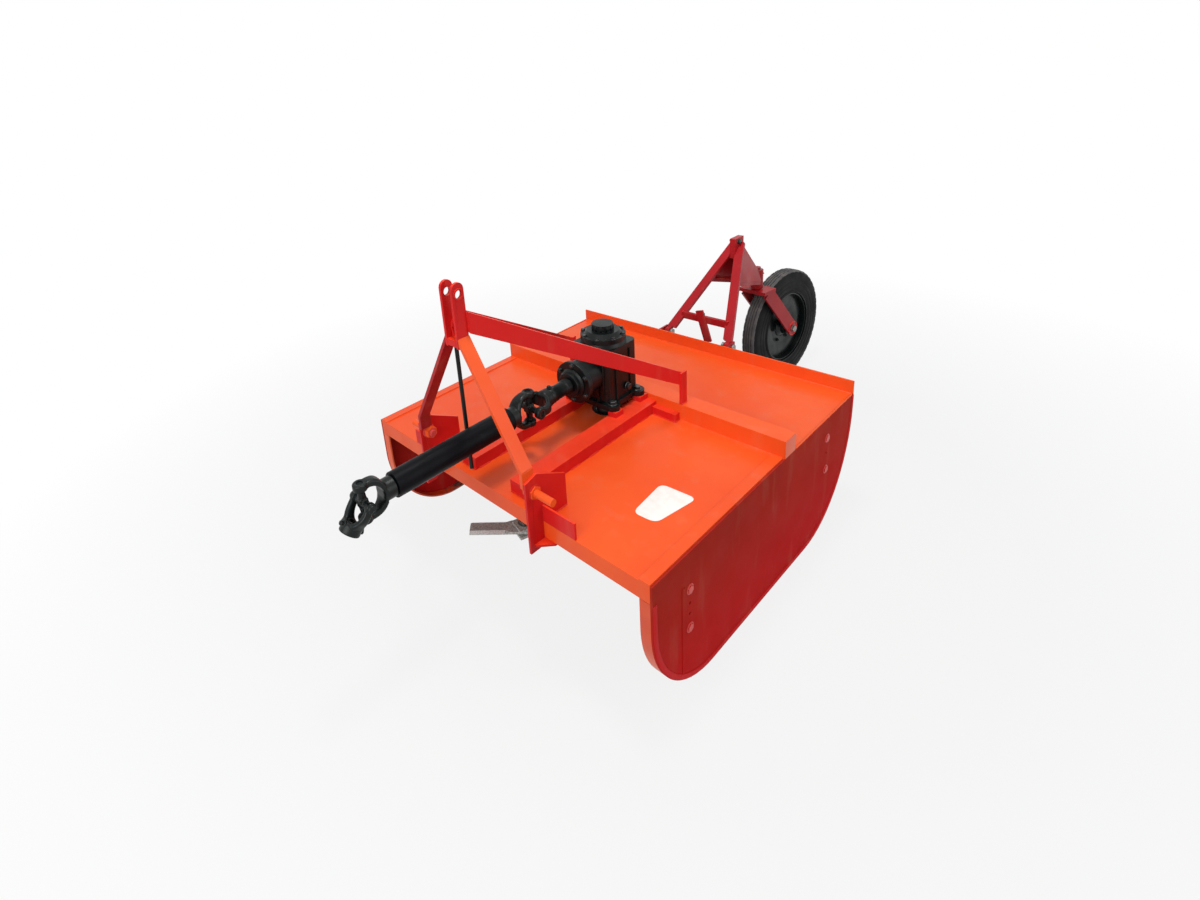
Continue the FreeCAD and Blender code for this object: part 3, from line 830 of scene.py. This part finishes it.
def fork_solid(bm, half, thick, web, hub, broad, bulk):
    """Rough forging of a fork: ears along X, hub along +Y, joint centre at the origin."""
    scale = Matrix.Diagonal((MM, MM, MM, 1))
    inside = half - thick
    # outer face (x, y), inner face (x, y) and width, from the ear's tip round to the hub
    stations = [
        (half, -4, inside, -4, broad * 0.86),
        (half, web * 0.20, inside, web * 0.22, broad * 0.84),
        (half + 1.0, web * 0.45, inside, web * 0.42, broad * 0.80),
        (half * 0.94, web * 0.78, inside * 0.86, web * 0.72, broad * 0.92),
        (half * 0.76, web + 2, inside * 0.50, web - 2, broad * 1.15),
        (36, web + 15, 2, web + 3, bulk * 1.75),
    ]
    for sign in BOTH:
        rings = []
        for ox, oy, ix, iy, wide in smooth_path(stations, 14):
            mid = Vector(((ox + ix) / 2, (oy + iy) / 2, 0))
            reach = Vector(((ox - ix) / 2, (oy - iy) / 2, 0))
            ring = []
            for k in range(28):
                turn = math.tau * k / 28
                p = mid + reach * squarish(math.cos(turn))
                ring.append(Vector((p.x * sign, p.y, wide / 2 * squarish(math.sin(turn)))))
            rings.append(ring)
        skin(bm, rings, scale)
        ear = scale @ facing(Vector((sign * inside, 0, 0)), X * sign)
        r = broad / 2 + 1.0
        lathe(bm, [(r - 3, 0), (r, 3), (r, thick - 4), (r - 2.5, thick - 0.5), (r - 5, thick)],
              ear, 48)
    trunk = scale @ facing(Vector((0, web + 1, 0)), Y)
    end = hub - web - 1
    lathe(bm, [(24, 0), (33, 4), (bulk, 12), (bulk, end - 3), (bulk - 3, end)], trunk, 56)


def forge(bm, voxel, rounds, cutter=None):
    """Melts rough solids into one forging with eased corners, then cuts its machined bores."""
    tools = []
    for rough in (bm, cutter):
        if rough is None:
            continue
        bmesh.ops.recalc_face_normals(rough, faces=rough.faces)
        mesh = bpy.data.meshes.new("rough")
        rough.to_mesh(mesh)
        rough.free()
        tools.append(new_object("rough", mesh))
    work = tools[0]
    melt = work.modifiers.new("melt", "REMESH")
    melt.mode, melt.voxel_size, melt.use_smooth_shade = "VOXEL", voxel, True
    ease = work.modifiers.new("ease", "SMOOTH")
    ease.factor, ease.iterations = 0.5, rounds
    if cutter is not None:
        bores = work.modifiers.new("bores", "BOOLEAN")
        bores.operation, bores.solver, bores.object = "DIFFERENCE", "EXACT", tools[1]
    graph = bpy.context.evaluated_depsgraph_get()
    made = bpy.data.meshes.new_from_object(work.evaluated_get(graph))
    result = bmesh.new()
    result.from_mesh(made)
    for spent in tools:
        mesh = spent.data
        bpy.data.objects.remove(spent)
        bpy.data.meshes.remove(mesh)
    bpy.data.meshes.remove(made)
    return result


def fork_place(body):
    """Matrix from the own axes of a body's fork to its joint."""
    joint, way, upright, droop = SEAT[body]
    place = moved(joint_at(joint)) @ turned(droop, "X")
    if way < 0:
        place = place @ turned(math.pi)
    if upright:
        place = place @ turned(math.pi / 2, "Y")
    return place


def make_fork(shape, bore=None):
    """Forged fork with its cross bores; bore is the radius and depth of a hole in its hub."""
    half, hub = shape[0], shape[3]
    rough = bmesh.new()
    fork_solid(rough, *shape)
    cutter = bmesh.new()
    reach = (half + 12) * MM
    lathe(cutter, [(CUP_R, -reach), (CUP_R, reach)], facing(Vector(), X), 48)
    if bore:
        radius, deep = bore
        lathe(cutter, [(radius * MM, 0), (radius * MM, (deep + 10) * MM)],
              facing(Vector((0, (hub - deep) * MM, 0)), Y), 48)
    return forge(rough, 0.0016, 7, cutter)


def place_fork(bm, body):
    bmesh.ops.transform(bm, matrix=fork_place(body), verts=bm.verts)


def input_fork():
    """Fork on the gearbox shaft, with the clamp sleeve behind it and its two bolts."""
    c = joint_at("inner_joint_lift")
    bm = make_fork(INNER_FORK)
    place_fork(bm, "input")
    lathe(bm, [(0.0330, 0.0), (0.0352, 0.003), (0.0352, 0.020), (0.0330, 0.023),
               (0.0330, 0.040), (0.0305, 0.043), (0.0305, 0.092), (0.0335, 0.095),
               (0.0335, 0.118), (0.0300, 0.1205), (SPLINE_R, 0.1205), (SPLINE_R, 0.170)],
          facing(c + Y * 0.108, Y), 48)
    for turn in (0, math.pi):
        boss = moved(c + Y * 0.119) @ turned(turn, "Y")
        lathe(bm, [(0.0115, 0.026), (0.0115, 0.0365), (0.0095, 0.0385)], boss, 28)
        hexagon(bm, raised(boss, 0.0385), 0.015, 0.0075)
    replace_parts(piece("input_fork_forged", bm, BLACK, "input", 40), "input_yoke")


def inner_fork():
    """Fork on the guarded half of the shaft, welded round its hub."""
    c = joint_at("inner_joint_lift")
    bm = make_fork(INNER_FORK)
    place_fork(bm, "shaft_rear")
    round_bead(bm, c - Y * 0.1105, -Y, 0.0345, 0.0022)
    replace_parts(piece("inner_fork_forged", bm, BLACK, "shaft_rear", 40),
                "shaft_fork_inner")


def outer_fork():
    """Fork on the sliding half of the shaft, with the splines that run into the guard."""
    o = joint_at("outer_joint_lift")
    bm = make_fork(FRONT_FORK)
    place_fork(bm, "shaft_front")
    sections = ((0.0, 0.0), (0.050, 0.0), (0.0505, 0.0022), (0.4670, 0.0022), (0.4680, 0.0035))
    rings = [splined(SPLINE_R, SPLINE_R - cut, 8, reach, 96) for reach, cut in sections]
    skin(bm, rings, facing(o + Y * 0.114, Y))
    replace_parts(piece("outer_fork_forged", bm, BLACK, "shaft_front", 40),
                "shaft_fork_outer")


def end_fork():
    """Free fork that goes on the tractor's shaft: splined bore and two locking pins."""
    bm = make_fork(END_FORK, (17.5, 42))
    tip = 0.106
    rings = [splined(0.0150, 0.0176, 12, height, 72) for height in (0.0, 0.034)]
    rings += [circle(0.0180, height, 72) for height in (0.034, 0.0)]
    skin(bm, rings, facing(Vector((0, tip - 0.001, 0)), -Y), closed=True)
    r, top = 0.0080, 0.0515
    for turn, back in ((0.0, 0.029), (math.pi, 0.012)):
        stem = moved((0, tip - back, 0)) @ turned(turn, "Y")
        lathe(bm, [(r + 0.003, 0.030), (r + 0.003, 0.0385), (r + 0.001, 0.0395),
                   (r - 0.001, 0.0400), (r - 0.001, top - 0.005), (r, top - 0.004),
                   (r, top - 0.001), (r - 0.002, top)], stem, 28)
    place_fork(bm, "end")
    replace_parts(piece("end_fork_forged", bm, BLACK, "end", 40), "end_yoke")


def spider(joint, across, upright, body, node):
    """Joint cross: eased body, ground trunnions, bearing cups and a grease nipple."""
    c = joint_at(joint)
    arms = ((X, across), (-X, across), (Z, upright), (-Z, upright))
    rough = bmesh.new()
    slab(rough, moved(Vector()), (0.038, 0.030, 0.038), 0.006)
    for axis, reach in arms:
        lathe(rough, [(0.0155, 0.010), (0.0140, 0.024), (0.0118, (reach - 26) * MM),
                      (0.0118, (reach - 12) * MM)], facing(Vector(), axis), 36)
    bm = forge(rough, 0.0012, 4)
    bmesh.ops.transform(bm, matrix=moved(c), verts=bm.verts)
    for axis, reach in arms:
        cup = facing(c, axis)
        top = reach * MM
        lathe(bm, [(0.0128, top - 0.0290), (0.0146, top - 0.0280), (0.0147, top - 0.0262),
                   (0.0147, top - 0.0032), (0.0137, top - 0.0020), (0.0090, top - 0.0022),
                   (0.0084, top - 0.0034), (0.0030, top - 0.0038)], cup, 40)
        lathe(bm, [(0.0122, top - 0.0315), (0.0141, top - 0.0312), (0.0141, top - 0.0294),
                   (0.0122, top - 0.0292)], cup, 36, True)
    aim = (X - Y * 1.1 + Z).normalized()
    nipple = facing(c + aim * 0.020, aim)
    hexagon(bm, nipple, 0.0080, 0.006)
    lathe(bm, [(0.0026, 0.005), (0.0026, 0.010), (0.0035, 0.012), (0.0030, 0.0140),
               (0.0012, 0.0150)], nipple, 16)
    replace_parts(piece(body + "_spider", bm, BLACK, body, 40), node)


def crosses():
    spider("inner_joint_lift", 74, 74, "inner_cross", "cross_inner")
    spider("outer_joint_lift", 64, 72, "outer_cross", "cross_outer")


def circlips():
    """Circlips with two eyes each, in the mouths of every fork's ear bores."""
    for body, shape in (("input", INNER_FORK), ("shaft_rear", INNER_FORK),
                        ("shaft_front", FRONT_FORK), ("end", END_FORK)):
        bm = bmesh.new()
        for sign in BOTH:
            ear = facing(Vector((sign * (shape[0] - 2.2) * MM, 0, 0)), X * sign)
            place = fork_place(body) @ ear
            lathe(bm, [(0.0126, 0.0), (0.0152, 0.0), (0.0152, 0.0014), (0.0126, 0.0014)],
                  place, 36, True)
            for k in BOTH:
                eye = place @ turned(k * 0.22) @ moved((0.0122, 0, 0))
                lathe(bm, [(0.0019, 0), (0.0019, 0.0016)], eye, 12)
        piece(body + "_circlips", bm, DARK_STEEL, body)


def guard_rings():
    """Moulded end collars of the shaft guard, with their three snap studs."""
    front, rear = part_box("shaft_guard")
    z = middle("shaft_guard").z
    bm = bmesh.new()
    r = 0.0460
    for y, way in ((front.y, 1), (rear.y, -1)):
        place = facing(Vector((0, y, z)), Y * way)
        lathe(bm, [(0.0275, 0.0003), (0.0445, 0.0003), (r, 0.0016), (r, 0.020),
                   (r - 0.0009, 0.022), (0.0275, 0.022)], place, 48, True)
        for k in range(3):
            turn = math.tau * k / 3 + 0.5
            rim = place @ turned(turn) @ moved((r - 0.0004, 0, 0.011))
            lathe(bm, [(0.0036, 0), (0.0036, 0.0006), (0.0022, 0.0007)],
                  rim @ turned(math.pi / 2, "Y"), 12)
    piece("guard_end_rings", bm, GUARD, "shaft_rear")


# ---- tail wheel ----
# Half of the tyre's section from bead to tread, as (radius, half width) in millimetres.
TYRE_HALF = [
    (217, 45), (224, 44.5), (231, 40), (246, 43.5), (262, 44.6), (266, 43.4), (270, 44.8),
    (288, 44.8), (292, 43.6), (296, 44.6), (318, 43.4), (330, 42.2), (333, 41.0), (338, 40.6),
    (347, 38.2), (353, 35.0), (356.4, 31), (357.4, 25.5), (351.5, 24.6), (351.5, 21.6),
    (357.8, 20.6), (358, 9.6), (351.8, 8.6), (351.8, 5.6), (358, 4.6),
]
TREAD_FROM = 0.3465  # radius in metres past which the tyre shows tread rubber


def notch(radius, across, step):
    """Depth of the cut at one step round the tyre: shoulder lugs, then sipes."""
    if radius > 336 and abs(across) > 24:
        return 3.4 if step % 4 == 0 else 0.0
    if radius > 355 and abs(across) > 9:
        return 2.2 if step % 6 == 3 else 0.0
    return 0.0


def tyre():
    """Ribbed tyre with notched ribs; the tread takes its own rubber."""
    centre = joint_at("wheel_spin")
    steps = 180
    rows = []
    for radius, across in TYRE_HALF + [(r, -w) for r, w in reversed(TYRE_HALF)]:
        row = []
        for i in range(steps):
            r = (radius - notch(radius, across, i)) * MM
            row.append((*polar(r, math.tau * i / steps), across * MM))
        rows.append(row)
    bm = bmesh.new()
    skin(bm, rows, facing(centre, AXLE), closed=True)
    bmesh.ops.recalc_face_normals(bm, faces=bm.faces)
    for face in bm.faces:
        reach = face.calc_center_median() - centre
        if (reach - AXLE * reach.dot(AXLE)).length > TREAD_FROM:
            face.material_index = 1
    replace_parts(piece("tyre_ribbed", bm, (SIDEWALL, TREAD), "tail_wheel", 30), "tyre")


def hub_fittings():
    """Hub cover, wheel bolts and pressed rim of the wheel disc, on both faces."""
    centre = joint_at("wheel_spin")
    bm = bmesh.new()
    for sign in BOTH:
        out = AXLE * sign
        side = facing(centre + out * 0.006, out)
        lathe(bm, [(0.070, 0), (0.070, 0.004), (0.062, 0.010), (0.047, 0.018), (0.0425, 0.040)],
              side, 40)
        for k in range(6):
            bolt(bm, side @ Vector((*polar(0.094, math.tau * k / 6), 0)), out, 0.011, True)
        lathe(bm, [(0.2065, 0.0), (0.2040, 0.003), (0.196, 0.004), (0.150, 0.0105),
                   (0.118, 0.004), (0.105, 0.0)], side, 72)
    piece("wheel_hub_fittings", bm, BLACK, "tail_wheel")


def axle_nuts():
    centre = joint_at("wheel_spin")
    bm = bmesh.new()
    for sign in BOTH:
        out = AXLE * sign
        washered_nut(bm, facing(centre + out * 0.078, out), 0.023, 24, 0.036, 0.013)
    piece("axle_nuts", bm, STEEL, "fork")


def kingpin_nut():
    """Nut on the kingpin, 0.3 mm off the housing so that their faces share no plane."""
    bm = bmesh.new()
    place = facing(tail(0, KING_Y, high("king_housing").z / MM + 0.3), Z)
    washered_nut(bm, place, 0.026, 28, 0.036, 0.0105)
    piece("kingpin_nut", bm, STEEL, "fork")


def tail_bolts():
    """Bolt through the strut's head and two pins in the cross bar."""
    bm = bmesh.new()
    bolt(bm, tail(16, 1190, 1034), X, 0.014)
    bolt(bm, tail(-16, 1190, 1034), -X, 0.014, True)
    for z in (666, 714):
        lathe(bm, [(0.008, 0), (0.008, 0.006), (0.006, 0.008)], facing(tail(0, 866, z), -Y), 14)
    piece("tail_frame_bolts", bm, DARK_STEEL, "tail_frame")


# ---- rotor ----
BLADE_HEADING = 223.6  # direction of the first blade at rest, degrees


def rotor_fittings():
    """Nuts and welds of the blade carrier under the deck."""
    c = joint_at("rotor_spin")
    carrier_top = high("carrier_upper").z
    bm = bmesh.new()
    under = facing(Vector((c.x, c.y, low("carrier_lower").z)), -Z)
    hexagon(bm, under, 0.052, 0.016)
    lathe(bm, [(0.036, -0.001), (0.036, 0.003)], under, 32)
    for k in (1, 2):
        p = joint_at("blade_%d_swing" % k)
        lathe(bm, [(0.030, 0), (0.030, 0.003)], facing(Vector((p.x, p.y, carrier_top)), Z), 28)
    piece("rotor_nuts", bm, STEEL, "rotor")
    bm = bmesh.new()
    spindle_r = high("rotor_spindle").x - 0.020
    round_bead(bm, Vector((c.x, c.y, carrier_top + 0.002)), Z, spindle_r, 0.004)
    piece("rotor_weld", bm, BLADE, "rotor", 60)


def blade_section(x, shoulder, lip, under, top):
    """Section of a blade x mm from its pivot, ground to a lip at both edges."""
    half = 40 if x < 240 else 38.5
    points = [(-half, under), (half, under), (half, under + lip), (shoulder, top),
              (-shoulder, top), (-half, under + lip)]
    return [Vector((x, y, z)) * MM for y, z in points]


def blades():
    """Swinging blades: flat bars with both long edges ground over the outer part."""
    # distance from the pivot, half width of the unground top, height of the lip
    stations = ((-60, 38.8, 10.8), (62, 38.8, 10.8), (88, 24, 2.6), (249.4, 24, 2.6),
                (250, 23.4, 2.8))
    for k in range(2):
        name = "blade_%d" % (k + 1)
        pivot = joint_at(name + "_swing")
        heading = turned(math.radians(BLADE_HEADING + 180 * k))
        place = moved(pivot) @ heading
        under, top = (low(name).z - pivot.z) / MM, (high(name).z - pivot.z) / MM
        bm = bmesh.new()
        skin(bm, [blade_section(*row, under, top) for row in stations], place)
        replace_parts(piece(name + "_bar", bm, BLADE, "swing_" + name, 20), name)
        bm = bmesh.new()
        strip = ((39.2, under + 3.0), (39.2, under + 3.6), (25, top - 0.2), (25, top - 0.8))
        for sign in BOTH:
            rows = [[Vector((x, sign * y, z)) * MM for y, z in strip] for x in (90, 130, 190, 246)]
            skin(bm, rows, place)
        piece(name + "_ground_edges", bm, GROUND_EDGE, "swing_" + name)


# ---- stage ----
def floor():
    """Pale floor: white to the camera far out, with the shadow near by."""
    bpy.ops.mesh.primitive_plane_add(size=60, location=(0, 0, -0.0005))
    plane = bpy.context.object
    plane.name = "floor"
    s = Shader("floor_pale")
    seen = s.directly_seen()
    away = s.add("ShaderNodeVectorMath", {0: s.place}, operation="LENGTH").outputs["Value"]
    amount = s.math("MULTIPLY", seen, s.span(away, 1.5, 3.6, 0.84, 1.0))
    tone = s.mix(s.noise(3.0), rgb(176, 176, 176), rgb(170, 170, 170))
    s.set(Base_Color=tone, Roughness=0.9, Specular_IOR_Level=0.1)
    glow = s.add("ShaderNodeEmission", {"Color": (1, 1, 1, 1), "Strength": 1.0})
    blend = s.add("ShaderNodeMixShader", {
        0: amount, 1: s.principled.outputs[0], 2: glow.outputs[0]})
    s.show(blend, "Material Output")
    plane.data.materials.append(s.material)


def world(strength):
    """Soft sky light, white where the camera, gloss or glass sees it."""
    bpy.context.scene.world = bpy.data.worlds.new("studio")
    nodes = Nodes(bpy.context.scene.world)
    light = nodes.tree.nodes["Background"]
    nodes.put(light, "Color", (0.95, 0.97, 1.0, 1.0))
    nodes.put(light, "Strength", strength)
    white = nodes.add("ShaderNodeBackground", {"Color": (1, 1, 1, 1), "Strength": 1.0})
    mix = nodes.add("ShaderNodeMixShader", {
        0: nodes.directly_seen(), 1: light.outputs[0], 2: white.outputs[0]})
    nodes.show(mix, "World Output")


def lamp(name, place, aim, size, watts):
    """Square area lamp that looks at a point."""
    data = bpy.data.lights.new(name, "AREA")
    data.shape = "SQUARE"
    data.size = size
    data.energy = watts
    obj = new_object(name, data)
    obj.location = place
    obj.rotation_euler = (Vector(aim) - Vector(place)).to_track_quat("-Z", "Y").to_euler()


CAMERA_AZIMUTH, CAMERA_ELEVATION, CAMERA_ROLL = 51.1, 18.08, -6.37  # degrees
CAMERA_FROM_DECK = Vector((1.65694, -2.00076, 2.06930))  # from the ground under mid-deck, metres
FOCAL_OVER_WIDTH = 0.530575
SHIFT_X, SHIFT_Y = 0.1006, -0.1430
SENSOR = 36.0


def camera():
    data = bpy.data.cameras.new("camera")
    data.sensor_width = SENSOR
    data.lens = FOCAL_OVER_WIDTH * SENSOR
    data.shift_x, data.shift_y = SHIFT_X, SHIFT_Y
    obj = new_object("camera", data)
    az, el, roll = (math.radians(a) for a in (CAMERA_AZIMUTH, CAMERA_ELEVATION, CAMERA_ROLL))
    back = Vector((math.sin(az) * math.cos(el), -math.cos(az) * math.cos(el), math.sin(el)))
    level = Z.cross(back).normalized()
    above = back.cross(level)
    right = math.cos(roll) * level + math.sin(roll) * above
    up = math.cos(roll) * above - math.sin(roll) * level
    turn = Matrix((right, up, back)).transposed().to_4x4()
    obj.matrix_world = moved(CAMERA_FROM_DECK + Vector((0, DECK_MID.y, 0))) @ turn
    bpy.context.scene.camera = obj


def stage():
    floor()
    world(0.44)
    lamp("top", (0.2, -0.5, 5.0), (0, -0.2, 0.5), 0.9, 100)
    lamp("front", (1.0, -5.2, 3.0), (0, 0, 0.5), 3.5, 145)
    lamp("side", (5.0, 1.0, 2.5), (0, 0, 0.5), 3.0, 60)
    camera()
    bpy.context.scene.view_settings.view_transform = "Standard"


dress_cad()
for make in (
    deck_welds, spindle_seal, frame_welds, tail_welds, fork_welds,
    gearbox_bolts, gearbox_ribs, hitch_collars, hitch_pin_ends, hanger_loop,
    side_fittings, plate_rims, sticker,
    input_fork, inner_fork, outer_fork, end_fork, crosses, circlips, guard_rings,
    tyre, hub_fittings, axle_nuts, kingpin_nut, tail_bolts,
    rotor_fittings, blades,
    stage,
):
    make()
